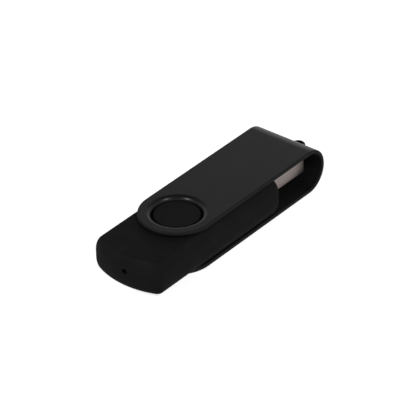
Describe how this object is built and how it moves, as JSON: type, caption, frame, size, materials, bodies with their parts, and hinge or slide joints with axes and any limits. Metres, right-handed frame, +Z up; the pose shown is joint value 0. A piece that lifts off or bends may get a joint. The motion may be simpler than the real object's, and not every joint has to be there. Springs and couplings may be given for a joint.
{
  "type": "usb flash drive",
  "caption": "Black flash drive: a plastic stick with a steel USB-A plug turns in a bent steel cover with a keyring loop.",
  "frame": {"origin": "centre of the bounding box, on its bottom plane", "axes": "+X runs along the drive from its rounded back end to the plug and the keyring loop; +Y is to the left seen from the back end; +Z is up through the thickness and is the way the swivel axis runs"},
  "size_m": [0.0704, 0.0204, 0.012],
  "materials": {
    "cover_enamel": "satin black enamel on bent steel",
    "shell_plastic": "fine matt black moulding",
    "plug_steel": "bright plated steel",
    "insulator_nylon": "off-white nylon moulding",
    "contact_gold": "gold-plated spring brass",
    "board_laminate": "green solder resist on glass laminate",
    "chip_resin": "moulded black resin with tinned leads",
    "crystal_can": "drawn nickel-plated can",
    "led_resin": "clear resin",
    "capacitor_ceramic": "tan ceramic with tinned end caps",
    "resistor_ceramic": "black coated ceramic with tinned end caps"
  },
  "bodies": {
    "cover": {"swivel_cover": "cover_enamel", "keyring_loop": "cover_enamel"},
    "stick": {"upper_shell": "shell_plastic", "lower_shell": "shell_plastic", "plug_shell": "plug_steel", "plug_insulator": "insulator_nylon", "contact_power": "contact_gold", "contact_data_minus": "contact_gold", "contact_data_plus": "contact_gold", "contact_ground": "contact_gold", "circuit_board": "board_laminate", "memory_chip": "chip_resin", "controller_chip": "chip_resin", "clock_crystal": "crystal_can", "status_led": "led_resin", "capacitor_1": "capacitor_ceramic", "capacitor_2": "capacitor_ceramic", "capacitor_3": "capacitor_ceramic", "capacitor_4": "capacitor_ceramic", "resistor_1": "resistor_ceramic", "resistor_2": "resistor_ceramic", "resistor_3": "resistor_ceramic", "resistor_4": "resistor_ceramic"}
  },
  "joints": [
    {"name": "stick_swivel", "type": "hinge", "parent": "cover", "child": "stick", "pos_m": [-0.01422, 0, 0.006], "axis": [0, 0, 1], "continuous": true}
  ]
}
